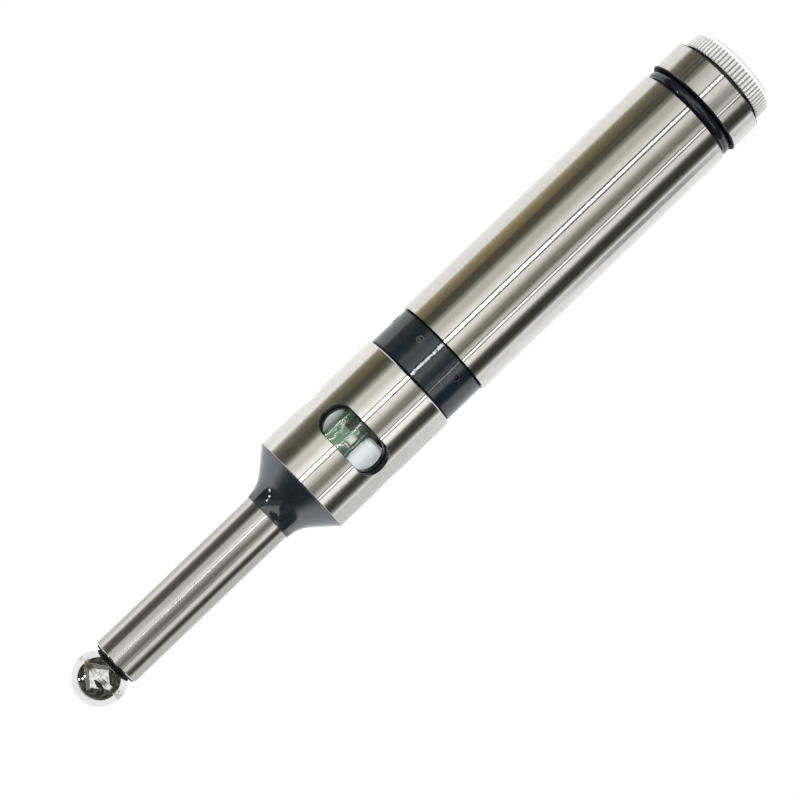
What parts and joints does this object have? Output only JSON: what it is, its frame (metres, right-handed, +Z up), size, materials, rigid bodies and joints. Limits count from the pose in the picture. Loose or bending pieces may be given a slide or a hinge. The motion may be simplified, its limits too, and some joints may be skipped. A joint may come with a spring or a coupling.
{
  "type": "photoelectric edge finder",
  "caption": "Straight-shank edge finder with a lit window housing, a black nose cone, a spring-held contact ball and a screw cap over the battery.",
  "frame": {"origin": "on the axis at the shoulder where the ground shank meets the black collar", "axes": "+Z up the shank towards the battery cap, the ball hangs down; -Y faces the middle of the first window"},
  "size_m": [0.02, 0.02, 0.16],
  "materials": {
    "ground_steel": "fine ground",
    "ball_steel": "mirror polished",
    "plain_steel": "satin",
    "spring_wire": "drawn",
    "dark_screw": "blackened",
    "black_plastic": "glossy",
    "black_liner": "satin",
    "clear_plastic": "clear",
    "board_green": "solder mask",
    "chip_body": "matte",
    "transistor_body": "matte",
    "lamp_white": "milky",
    "contact_brass": "turned",
    "sleeve_plastic": "satin",
    "fibre_disc": "matte",
    "battery_jacket": "satin jacket",
    "ring_rubber": "glossy"
  },
  "bodies": {
    "housing": {"shank_tube": "ground_steel", "battery_liner": "sleeve_plastic", "battery": "battery_jacket", "terminal_disc": "fibre_disc", "contact_rod": "contact_brass", "rod_sleeve": "sleeve_plastic", "collar_ring": "black_plastic", "collar_screws": "dark_screw", "window_housing": "ground_steel", "window_liner": "black_liner", "lens_tube": "clear_plastic", "lamp_holder": "black_liner", "board_cap": "black_liner", "circuit_board": "board_green", "board_chips": "chip_body", "board_transistor": "transistor_body", "lamp_right": "lamp_white", "lamp_left": "lamp_white", "foot_contact": "contact_brass", "nose_cone": "black_plastic", "stylus_tube": "ground_steel", "stylus_nut": "plain_steel", "spring_anchor": "plain_steel"},
    "cap_lift": {"battery_spring": "spring_wire", "contact_washer": "contact_brass"},
    "cap": {"battery_cap": "ground_steel", "cap_ring": "ring_rubber"},
    "ball_spring": {"tension_spring": "spring_wire"},
    "ball": {"ball_tip": "ball_steel", "ball_stem": "plain_steel"}
  },
  "joints": [
    {"name": "cap_lift", "type": "slide", "parent": "housing", "child": "cap_lift", "axis": [0, 0, 1], "range_m": [0, 0.004], "deforming": ["battery_spring"]},
    {"name": "cap_turn", "type": "hinge", "parent": "cap_lift", "child": "cap", "pos_m": [0, 0, 0.064], "axis": [0, 0, 1], "range_deg": [0, 1440]},
    {"name": "ball_pull", "type": "slide", "parent": "housing", "child": "ball_spring", "axis": [0, 0, -1], "range_m": [0, 0.003], "stiffness_N_per_m": 600, "springref_m": -0.003, "deforming": ["tension_spring"]},
    {"name": "ball_swing", "type": "hinge", "parent": "ball_spring", "child": "ball", "pos_m": [0, 0, -0.083], "axis": [0, 1, 0], "range_deg": [-12, 12], "stiffness_Nm_per_rad": 0.014}
  ],
  "couplings": [
    {"joint": "cap_turn", "follows": "cap_lift", "rad_per_m": 6283.2}
  ]
}
